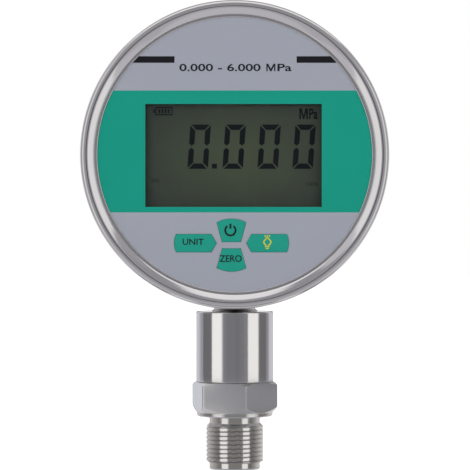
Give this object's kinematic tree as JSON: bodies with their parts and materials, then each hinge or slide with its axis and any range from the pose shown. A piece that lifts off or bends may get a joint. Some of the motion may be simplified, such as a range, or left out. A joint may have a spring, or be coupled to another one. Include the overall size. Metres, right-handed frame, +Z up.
{
  "type": "digital pressure gauge",
  "caption": "Round digital pressure gauge with a segment display and push keys, on a hexagonal connector with a male thread below.",
  "frame": {"origin": "middle of the sealing face above the thread, on the stem's axis", "axes": "+Z up along the stem, the display faces -Y, +X to the right of someone who reads the display"},
  "size_m": [0.105, 0.0499, 0.1618],
  "materials": {
    "stem_steel": "turned stainless steel, satin",
    "case_steel": "drawn stainless sheet, satin",
    "ring_steel": "drawn stainless sheet, bright polished",
    "plated_steel": "plated steel",
    "pin_brass": "gold-plated",
    "seal_rubber": "moulded black rubber",
    "board_green": "glass-fibre board with green mask",
    "cable_grey": "grey sheath",
    "cable_red": "red sheath",
    "cable_black": "black sheath",
    "nylon_white": "white moulding",
    "tray_black": "black moulding",
    "battery_skin": "plain printed sleeve",
    "panel_grey": "grey moulding",
    "film_grey": "printed film, grey with a green band",
    "pane_clear": "clear, glossy",
    "key_green": "green, satin",
    "plunger_black": "black moulding",
    "switch_grey": "grey moulding",
    "lcd_glass": "glass with a polariser",
    "light_guide": "clear moulding",
    "chip_black": "black moulding",
    "capacitor_tan": "ceramic"
  },
  "bodies": {
    "gauge": {"process_connector": "stem_steel", "stem_barrel": "stem_steel", "case_body": "case_steel", "battery_door": "case_steel", "bezel_ring": "ring_steel", "neck_washer": "plated_steel", "neck_nut": "plated_steel", "sensor_capsule": "plated_steel", "sensor_retainer": "plated_steel", "clinch_nuts": "plated_steel", "door_screws": "plated_steel", "board_screws": "plated_steel", "battery_contacts": "plated_steel", "battery_springs": "plated_steel", "lcd_pins": "plated_steel", "crystal_can": "plated_steel", "sensor_pins": "pin_brass", "sensor_oring": "seal_rubber", "neck_gasket": "seal_rubber", "case_gasket": "seal_rubber", "door_gasket": "seal_rubber", "sensor_board": "board_green", "main_board": "board_green", "sensor_lead": "cable_grey", "battery_lead_positive": "cable_red", "battery_lead_negative": "cable_black", "sensor_plug": "nylon_white", "sensor_socket": "nylon_white", "battery_plug": "nylon_white", "battery_socket": "nylon_white", "lcd_frame": "nylon_white", "battery_tray": "tray_black", "battery_cells": "battery_skin", "face_panel": "panel_grey", "face_film": "film_grey", "window_pane": "pane_clear", "switch_bodies": "switch_grey", "lcd_front_glass": "lcd_glass", "lcd_rear_glass": "lcd_glass", "lcd_backlight": "light_guide", "backlight_leds": "light_guide", "processor_chip": "chip_black", "converter_chip": "chip_black", "voltage_regulator": "chip_black", "board_resistors": "chip_black", "board_capacitors": "capacitor_tan"},
    "power_key": {"key_power": "key_green", "plunger_power": "plunger_black"},
    "zero_key": {"key_zero": "key_green", "plunger_zero": "plunger_black"},
    "unit_key": {"key_unit": "key_green", "plunger_unit": "plunger_black"},
    "light_key": {"key_light": "key_green", "plunger_light": "plunger_black"}
  },
  "joints": [
    {"name": "power_key_press", "type": "slide", "parent": "gauge", "child": "power_key", "axis": [0, 1, 0], "range_m": [0, 0.0005], "stiffness_N_per_m": 2000, "springref_m": -0.0002},
    {"name": "zero_key_press", "type": "slide", "parent": "gauge", "child": "zero_key", "axis": [0, 1, 0], "range_m": [0, 0.0005], "stiffness_N_per_m": 2000, "springref_m": -0.0002},
    {"name": "unit_key_press", "type": "slide", "parent": "gauge", "child": "unit_key", "axis": [0, 1, 0], "range_m": [0, 0.0005], "stiffness_N_per_m": 2000, "springref_m": -0.0002},
    {"name": "light_key_press", "type": "slide", "parent": "gauge", "child": "light_key", "axis": [0, 1, 0], "range_m": [0, 0.0005], "stiffness_N_per_m": 2000, "springref_m": -0.0002}
  ]
}
